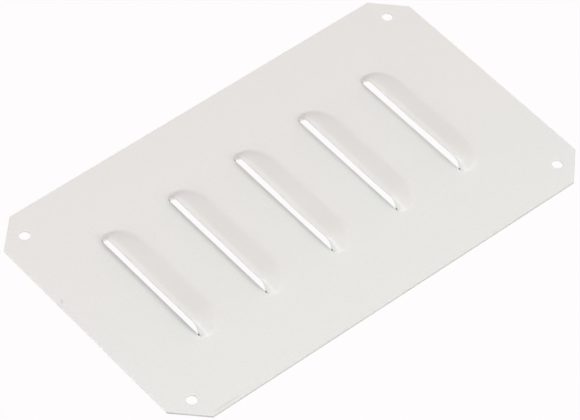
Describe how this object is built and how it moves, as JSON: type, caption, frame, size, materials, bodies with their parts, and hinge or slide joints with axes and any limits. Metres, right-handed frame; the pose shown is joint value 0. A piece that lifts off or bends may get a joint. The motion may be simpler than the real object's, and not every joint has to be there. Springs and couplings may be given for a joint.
{
  "type": "louvred sheet metal panel",
  "caption": "Flat rectangular sheet metal ventilation panel with cut corners, corner screw holes and a row of pressed louvre hoods.",
  "frame": {"origin": "middle of the sheet's flat underside", "axes": "+X along the panel, across the louvres, whose mouths face -X; +Y along each louvre; +Z out of the face that the hoods stand on"},
  "size_m": [0.246, 0.146, 0.0067],
  "materials": {
    "powder_coat": "pale grey powder coat, fine satin texture"
  },
  "bodies": {
    "root": {"louvre_panel": "powder_coat"}
  },
  "joints": []
}
